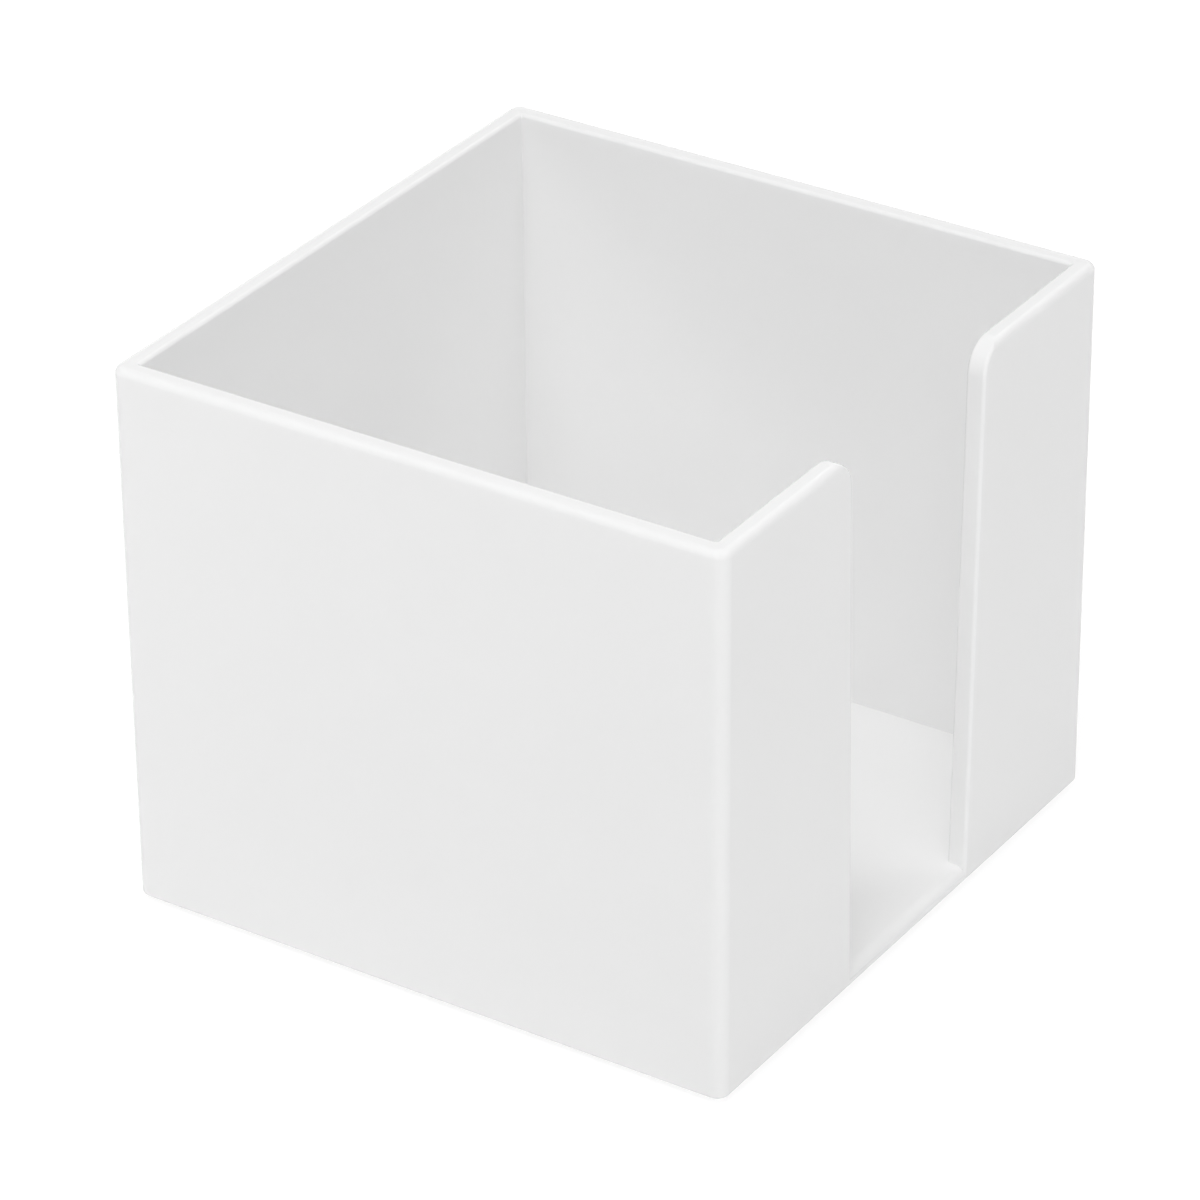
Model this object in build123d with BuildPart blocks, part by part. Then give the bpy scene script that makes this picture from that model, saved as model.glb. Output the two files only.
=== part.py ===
from build123d import *
import os

# Desk memo box: a white one-piece moulding, open at the top, that holds a block of square note sheets.
# A slot in its front wall lets a thumb reach the sheets, and it stands on four small rubber feet.
# Millimetres. +Z is up, the slot faces -Y, and the origin is on the table under the middle of the box.

# Overall size of the moulding
box_width = 100.0
box_depth = 98.5
box_height = 85.0

# Walls and floor of the moulding
wall_thickness = 3.0
floor_thickness = 2.4
outer_corner_radius = 2.0
inner_corner_radius = 0.2
rim_outer_radius = 1.15
rim_inner_radius = 0.6
base_edge_radius = 0.6

# Thumb slot in the front wall: it narrows from the rim down to the floor
slot_rim_width = 35.4
slot_floor_width = 31.8
slot_corner_radius = 4.6
slot_edge_radius = 0.5
floor_lip_radius = 1.7

# Rubber feet, each seated in a shallow round recess under the floor
foot_diameter = 10.0
foot_taper = 0.3
foot_thickness = 1.6
foot_seat_depth = 0.6
foot_seat_clearance = 0.15
foot_inset = 11.0
foot_edge_chamfer = 0.35

# Mark of the moulding gate, in a dimple that keeps it off the table
gate_dimple_diameter = 7.0
gate_dimple_depth = 0.5
gate_diameter = 1.6
gate_height = 0.3

# Working allowances: how far cuts run past a face, and how close an edge lies to its nominal level
cut_overrun = 1.0
pick_slack = 0.01

# Levels and places that follow from the sizes above
base_level = foot_thickness - foot_seat_depth
floor_level = base_level + floor_thickness
rim_level = base_level + box_height
front_face = -box_depth / 2
well_width = box_width - 2 * wall_thickness
well_depth = box_depth - 2 * wall_thickness
well_height = rim_level - floor_level
slot_shoulder = 2 * slot_corner_radius
foot_pitch_x = box_width - 2 * foot_inset
foot_pitch_y = box_depth - 2 * foot_inset

os.makedirs("parts", exist_ok=True)

# Plan of the moulding, and the outer form that eases its rim and base edges all round
with BuildSketch(Plane.XY.offset(base_level)) as box_plan:
    RectangleRounded(box_width, box_depth, outer_corner_radius)

with BuildPart() as outer_form:
    extrude(box_plan.sketch, amount=box_height)
    fillet(outer_form.faces().sort_by(Axis.Z)[-1].edges(), rim_outer_radius)
    fillet(outer_form.faces().sort_by(Axis.Z)[0].edges(), base_edge_radius)

# Moulded box
with BuildPart() as box_shell:
    extrude(box_plan.sketch, amount=box_height)

    # Well for the note sheets
    with BuildSketch(Plane.XY.offset(floor_level)):
        RectangleRounded(well_width, well_depth, inner_corner_radius)
    extrude(amount=well_height, mode=Mode.SUBTRACT)

    # Thumb slot, with its jambs rounded over into the rim and its foot level with the floor
    with BuildSketch(Plane.XZ.offset(-front_face)) as slot_outline:
        with BuildLine():
            Polyline(
                (0, floor_level),
                (slot_floor_width / 2, floor_level),
                (slot_rim_width / 2, rim_level),
                (slot_rim_width / 2 + slot_shoulder, rim_level),
                (slot_rim_width / 2 + slot_shoulder, rim_level + cut_overrun),
                (0, rim_level + cut_overrun),
            )
            mirror(about=Plane.YZ)
        make_face()
        rim_corners = slot_outline.vertices().filter_by_position(
            Axis.Y, rim_level - pick_slack, rim_level + pick_slack
        )
        fillet(rim_corners.sort_by(Axis.X)[1:3], slot_corner_radius)
    extrude(amount=-wall_thickness, mode=Mode.SUBTRACT)

    # Front lip of the floor, rounded where the sheets slide out over it
    floor_lines = box_shell.edges().filter_by(Axis.X).filter_by_position(
        Axis.Z, floor_level - pick_slack, floor_level + pick_slack
    )
    fillet(floor_lines.sort_by(Axis.Y)[0], floor_lip_radius)

    # Inner edge of the rim, which runs on over the slot's corners and down both jambs
    rim_lines = box_shell.edges().filter_by(Axis.X).group_by(Axis.Z)[-1]
    fillet(rim_lines.sort_by(Axis.Y)[-2], rim_inner_radius)

    # Outer edge of the rim, which runs on in the same way and stays crisp along the jambs
    rim_lines = box_shell.edges().filter_by(Axis.X).group_by(Axis.Z)[-1]
    fillet(rim_lines.sort_by(Axis.Y)[-1], slot_edge_radius)

    # Fuller rounding of the rim, which runs out where the slot's corners drop away from it
    add(outer_form.part, mode=Mode.INTERSECT)

    # Seats for the feet
    with BuildSketch(Plane.XY.offset(base_level)):
        with GridLocations(foot_pitch_x, foot_pitch_y, 2, 2):
            Circle(foot_diameter / 2 + foot_seat_clearance)
    extrude(amount=foot_seat_depth, mode=Mode.SUBTRACT)

    # Gate mark in the middle of the underside
    with BuildSketch(Plane.XY.offset(base_level)):
        Circle(gate_dimple_diameter / 2)
    extrude(amount=gate_dimple_depth, mode=Mode.SUBTRACT)
    with BuildSketch(Plane.XY.offset(base_level + gate_dimple_depth)):
        Circle(gate_diameter / 2)
    extrude(amount=-gate_height)

box_shell.part.label = "box_shell"
export_step(box_shell.part, "parts/box_shell.step")

# Feet: low tapered pads, bonded by their wide face into the seats
for end_name, end in (("front", -1), ("rear", 1)):
    for side_name, side in (("left", -1), ("right", 1)):
        table_spot = Plane((side * foot_pitch_x / 2, end * foot_pitch_y / 2, 0))
        with BuildPart(table_spot) as foot:
            Cone(
                foot_diameter / 2 - foot_taper,
                foot_diameter / 2,
                foot_thickness,
                align=(Align.CENTER, Align.CENTER, Align.MIN),
            )
            chamfer(foot.edges().sort_by(Axis.Z)[0], foot_edge_chamfer)
        foot.part.label = f"foot_{end_name}_{side_name}"
        export_step(foot.part, f"parts/{foot.part.label}.step")
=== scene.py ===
import math
from typing import NamedTuple

import bpy
from mathutils import Matrix, Vector

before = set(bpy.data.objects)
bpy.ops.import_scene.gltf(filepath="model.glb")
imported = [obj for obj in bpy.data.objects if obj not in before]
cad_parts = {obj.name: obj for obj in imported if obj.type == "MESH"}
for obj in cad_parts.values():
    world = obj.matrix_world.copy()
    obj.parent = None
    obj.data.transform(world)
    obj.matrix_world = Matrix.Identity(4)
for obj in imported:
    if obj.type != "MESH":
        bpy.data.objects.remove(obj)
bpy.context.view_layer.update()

# A white desk memo box in soft studio light: the finish of its CAD nodes, a pale floor, a white room, the
# lamps and the camera. Metres, in the frame of the CAD model: +Z is up, the thumb slot faces -Y and the feet
# stand at Z = 0.

MM = 0.001
UP = Vector((0.0, 0.0, 1.0))


class Pattern(NamedTuple):
    """Noise whose patches are about this many metres across, and how much finer detail it has."""

    patch: float
    detail: float


# Camera: place, aim and lens as the photograph shows the box
IMAGE_SIDE_PX = 1200
FOCAL_LENGTH_PX = 5915
SENSOR_WIDTH_MM = 36.0
CAMERA_PLACE = Vector((-611.4, -396.9, 458.2)) * MM
CAMERA_AZIMUTH = math.radians(-56.85)
CAMERA_ELEVATION = math.radians(29.83)
CAMERA_ROLL = math.radians(-0.46)

# White plastic: a glossy opaque moulding whose colour and polish drift slightly over each wall
PLASTIC_DEEP = (0.892, 0.892, 0.892, 1.0)
PLASTIC_PALE = (0.908, 0.908, 0.908, 1.0)
PLASTIC_PIGMENT = Pattern(patch=45.0 * MM, detail=2.0)
PLASTIC_ROUGHNESS = (0.17, 0.25)
PLASTIC_POLISH = Pattern(patch=14.0 * MM, detail=3.0)
PLASTIC_WAVES = Pattern(patch=30.0 * MM, detail=1.0)
PLASTIC_WAVE_HEIGHT = 0.010 * MM
PLASTIC_GRAIN = Pattern(patch=0.30 * MM, detail=2.0)
PLASTIC_GRAIN_HEIGHT = 0.0006 * MM
PLASTIC_IOR = 1.50
PLASTIC_SCATTER_WEIGHT = 0.25
PLASTIC_SCATTER_DEPTH = 1.0 * MM
PLASTIC_SCATTER_RADIUS = (1.0, 1.0, 1.0)

# Rubber of the feet: matt and slightly mottled
FOOT_PREFIX = "foot_"
RUBBER_DEEP = (0.56, 0.56, 0.55, 1.0)
RUBBER_PALE = (0.66, 0.66, 0.65, 1.0)
RUBBER_ROUGHNESS = (0.55, 0.72)
RUBBER_MOTTLE = Pattern(patch=1.8 * MM, detail=4.0)
RUBBER_GRAIN = Pattern(patch=0.25 * MM, detail=3.0)
RUBBER_GRAIN_HEIGHT = 0.02 * MM

# Seams between faces of the CAD mesh that meet smoothly are closed for shading; sharper ones stay crisp
SEAM_WIDTH = 0.001 * MM
CRISP_ANGLE = math.radians(35)

# Floor: white to the camera and in reflections, by a glow that weakens near the box as painted shade, so its
# shadow shows
FLOOR_SIDE = 6.0
FLOOR_COLOUR = (0.90, 0.90, 0.90, 1.0)
FLOOR_SHADOW_COLOUR = (0.22, 0.22, 0.22, 1.0)
FLOOR_GLOW_FAR = 1.0
# Painted shade: the floor's glow is lower near the box, which darkens the floor round it
FLOOR_GLOW_NEAR_PAINTED_SHADE = 0.82
FLOOR_GLOW_REACH = 0.7

# Room: dim even light from all round, which shows as white to the camera and in reflections
ROOM_COLOUR = (1.0, 1.0, 1.0, 1.0)
ROOM_STRENGTH = 0.04
WHITE_STRENGTH = 1.0

# Light passes this often between the white walls of the box before it is dropped
WALL_BOUNCES = 12

# Lamps: soft squares aimed at the box, large and about a metre away unless a row says otherwise
LAMP_AIM = Vector((0.0, 0.0, 45.0)) * MM
LAMP_SIDE = 0.9
LAMP_DISTANCE = 1.2


class Lamp(NamedTuple):
    """Lamp in degrees, watts and metres; the camera sees none, and reflections show only mirrored ones."""

    name: str
    azimuth: float
    elevation: float
    power: float
    side: float = LAMP_SIDE
    distance: float = LAMP_DISTANCE
    mirrored: bool = False


LAMPS = (
    Lamp("key", azimuth=-57, elevation=55, power=3.4),
    Lamp("left", azimuth=-75, elevation=45, power=4.5),
    Lamp("high_left", azimuth=-110, elevation=70, power=2.4),
    Lamp("front", azimuth=-10, elevation=25, power=3.4),
    Lamp("low_front", azimuth=15, elevation=10, power=0.85, side=0.35),
    Lamp("side", azimuth=-145, elevation=12, power=0.25, side=0.25, distance=0.4),
    Lamp("overhead", azimuth=180, elevation=65, power=2.3),
    Lamp("right", azimuth=90, elevation=40, power=3.5),
    Lamp("rear_right", azimuth=125, elevation=7, power=2.4, side=0.25),
    Lamp("edge", azimuth=100, elevation=40, power=0.3, side=0.25, mirrored=True),
    Lamp("glint", azimuth=-133, elevation=46, power=0.2, side=0.15, mirrored=True),
)


def direction(azimuth, elevation):
    """Unit vector towards a place round the box; azimuth 0 is straight in front of the slot."""
    return Vector((
        math.sin(azimuth) * math.cos(elevation),
        -math.cos(azimuth) * math.cos(elevation),
        math.sin(elevation),
    ))


def new_material(name):
    material = bpy.data.materials.new(name)
    material.use_nodes = True
    tree = material.node_tree
    return material, tree, tree.nodes["Principled BSDF"]


def noise(tree, pattern):
    """Noise in the object's own space."""
    coordinates = tree.nodes.new("ShaderNodeTexCoord")
    texture = tree.nodes.new("ShaderNodeTexNoise")
    texture.inputs["Scale"].default_value = 1 / pattern.patch
    texture.inputs["Detail"].default_value = pattern.detail
    tree.links.new(coordinates.outputs["Object"], texture.inputs["Vector"])
    return texture.outputs["Fac"]


def tint(tree, factor, deep, pale, socket):
    """Colour that drifts between two tones."""
    ramp = tree.nodes.new("ShaderNodeValToRGB")
    ramp.color_ramp.elements[0].color = deep
    ramp.color_ramp.elements[1].color = pale
    tree.links.new(factor, ramp.inputs["Fac"])
    tree.links.new(ramp.outputs["Color"], socket)


def spread(tree, factor, limits, socket):
    """Number that goes from the first limit to the second as the factor goes from 0 to 1."""
    first, second = limits
    scale = tree.nodes.new("ShaderNodeMapRange")
    scale.inputs["To Min"].default_value = first
    scale.inputs["To Max"].default_value = second
    tree.links.new(factor, scale.inputs["Value"])
    tree.links.new(scale.outputs["Result"], socket)


def relief(tree, reliefs, socket):
    """Bumps laid over each other, each a height texture with the height it stands for."""
    below = None
    for height, distance in reliefs:
        bump = tree.nodes.new("ShaderNodeBump")
        bump.inputs["Distance"].default_value = distance
        tree.links.new(height, bump.inputs["Height"])
        if below:
            tree.links.new(below, bump.inputs["Normal"])
        below = bump.outputs["Normal"]
    tree.links.new(below, socket)


def white_plastic():
    material, tree, shader = new_material("moulded_white_plastic")
    tint(tree, noise(tree, PLASTIC_PIGMENT), PLASTIC_DEEP, PLASTIC_PALE, shader.inputs["Base Color"])
    spread(tree, noise(tree, PLASTIC_POLISH), PLASTIC_ROUGHNESS, shader.inputs["Roughness"])
    waves = noise(tree, PLASTIC_WAVES)
    grain = noise(tree, PLASTIC_GRAIN)
    reliefs = ((waves, PLASTIC_WAVE_HEIGHT), (grain, PLASTIC_GRAIN_HEIGHT))
    relief(tree, reliefs, shader.inputs["Normal"])
    shader.inputs["IOR"].default_value = PLASTIC_IOR
    shader.inputs["Subsurface Weight"].default_value = PLASTIC_SCATTER_WEIGHT
    shader.inputs["Subsurface Radius"].default_value = PLASTIC_SCATTER_RADIUS
    shader.inputs["Subsurface Scale"].default_value = PLASTIC_SCATTER_DEPTH
    return material


def foot_rubber():
    material, tree, shader = new_material("grey_foot_rubber")
    mottle = noise(tree, RUBBER_MOTTLE)
    tint(tree, mottle, RUBBER_DEEP, RUBBER_PALE, shader.inputs["Base Color"])
    spread(tree, mottle, RUBBER_ROUGHNESS, shader.inputs["Roughness"])
    grain = noise(tree, RUBBER_GRAIN)
    relief(tree, ((grain, RUBBER_GRAIN_HEIGHT),), shader.inputs["Normal"])
    return material


def close_seams(node):
    """Shades faces that meet smoothly as one surface, without moving any of them."""
    weld = node.modifiers.new("close_seams", "WELD")
    weld.merge_threshold = SEAM_WIDTH
    crisp = node.modifiers.new("crisp_edges", "EDGE_SPLIT")
    crisp.split_angle = CRISP_ANGLE
    crisp.use_edge_sharp = False
    node.modifiers.new("even_shading", "WEIGHTED_NORMAL")


def finish_nodes():
    plastic = white_plastic()
    rubber = foot_rubber()
    for name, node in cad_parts.items():
        node.data.materials.clear()
        node.data.materials.append(rubber if name.startswith(FOOT_PREFIX) else plastic)
        close_seams(node)


def seen_directly(tree):
    """1 for rays from the camera, in reflections and through clear things; 0 for light on its way round."""
    path = tree.nodes.new("ShaderNodeLightPath")
    seen = path.outputs["Is Camera Ray"]
    for ray in ("Is Glossy Ray", "Is Transmission Ray"):
        larger = tree.nodes.new("ShaderNodeMath")
        larger.operation = "MAXIMUM"
        tree.links.new(seen, larger.inputs[0])
        tree.links.new(path.outputs[ray], larger.inputs[1])
        seen = larger.outputs["Value"]
    return seen


def light_and_show(tree, lighting, shown, output):
    """Lights the scene by one shader, and shows the other where the surroundings are seen directly."""
    either = tree.nodes.new("ShaderNodeMixShader")
    tree.links.new(seen_directly(tree), either.inputs["Fac"])
    tree.links.new(lighting, either.inputs[1])
    tree.links.new(shown, either.inputs[2])
    tree.links.new(either.outputs["Shader"], output.inputs["Surface"])


def matt(tree, colour):
    surface = tree.nodes.new("ShaderNodeBsdfDiffuse")
    surface.inputs["Color"].default_value = colour
    return surface.outputs["BSDF"]


def floor_glow(tree):
    """White light of the floor's own, which falls off from its far level to its near one at the box: painted
    shade round the box.
    """
    coordinates = tree.nodes.new("ShaderNodeTexCoord")
    reach = tree.nodes.new("ShaderNodeMapping")
    reach.inputs["Scale"].default_value = (1 / FLOOR_GLOW_REACH,) * 3
    nearness = tree.nodes.new("ShaderNodeTexGradient")
    nearness.gradient_type = "SPHERICAL"
    glow = tree.nodes.new("ShaderNodeEmission")
    tree.links.new(coordinates.outputs["Object"], reach.inputs["Vector"])
    tree.links.new(reach.outputs["Vector"], nearness.inputs["Vector"])
    spread(tree, nearness.outputs["Fac"], (FLOOR_GLOW_FAR, FLOOR_GLOW_NEAR_PAINTED_SHADE), glow.inputs["Strength"])
    return glow.outputs["Emission"]


def floor_material():
    material = bpy.data.materials.new("floor")
    material.use_nodes = True
    tree = material.node_tree
    tree.nodes.clear()
    shown = tree.nodes.new("ShaderNodeAddShader")
    tree.links.new(matt(tree, FLOOR_SHADOW_COLOUR), shown.inputs[0])
    tree.links.new(floor_glow(tree), shown.inputs[1])
    output = tree.nodes.new("ShaderNodeOutputMaterial")
    light_and_show(tree, matt(tree, FLOOR_COLOUR), shown.outputs["Shader"], output)
    return material


def make_floor():
    half = FLOOR_SIDE / 2
    corners = [(-half, -half, 0), (half, -half, 0), (half, half, 0), (-half, half, 0)]
    mesh = bpy.data.meshes.new("floor")
    mesh.from_pydata(corners, [], [(0, 1, 2, 3)])
    mesh.materials.append(floor_material())
    floor = bpy.data.objects.new("floor", mesh)
    bpy.context.scene.collection.objects.link(floor)


def room_light(tree, strength):
    light = tree.nodes.new("ShaderNodeBackground")
    light.inputs["Color"].default_value = ROOM_COLOUR
    light.inputs["Strength"].default_value = strength
    return light.outputs["Background"]


def make_room():
    world = bpy.data.worlds.new("room")
    bpy.context.scene.world = world
    world.use_nodes = True
    tree = world.node_tree
    tree.nodes.clear()
    output = tree.nodes.new("ShaderNodeOutputWorld")
    light_and_show(tree, room_light(tree, ROOM_STRENGTH), room_light(tree, WHITE_STRENGTH), output)


def make_lamps():
    for lamp in LAMPS:
        light = bpy.data.lights.new(lamp.name, "AREA")
        light.size = lamp.side
        light.energy = lamp.power
        holder = bpy.data.objects.new(lamp.name, light)
        towards = direction(math.radians(lamp.azimuth), math.radians(lamp.elevation))
        holder.location = LAMP_AIM + towards * lamp.distance
        holder.rotation_euler = towards.to_track_quat("Z", "Y").to_euler()
        holder.visible_camera = False
        holder.visible_glossy = lamp.mirrored
        bpy.context.scene.collection.objects.link(holder)


def make_camera():
    lens = bpy.data.cameras.new("camera")
    lens.sensor_width = SENSOR_WIDTH_MM
    lens.lens = FOCAL_LENGTH_PX / IMAGE_SIDE_PX * SENSOR_WIDTH_MM
    camera = bpy.data.objects.new("camera", lens)
    back = direction(CAMERA_AZIMUTH, CAMERA_ELEVATION)
    right = UP.cross(back).normalized()
    level = Matrix((right, back.cross(right), back)).transposed()
    turned = level @ Matrix.Rotation(CAMERA_ROLL, 3, "Z")
    camera.matrix_world = Matrix.Translation(CAMERA_PLACE) @ turned.to_4x4()
    bpy.context.scene.collection.objects.link(camera)
    bpy.context.scene.camera = camera


finish_nodes()
make_floor()
make_room()
make_lamps()
make_camera()
bpy.context.scene.view_settings.view_transform = "Standard"
bpy.context.scene.cycles.diffuse_bounces = WALL_BOUNCES
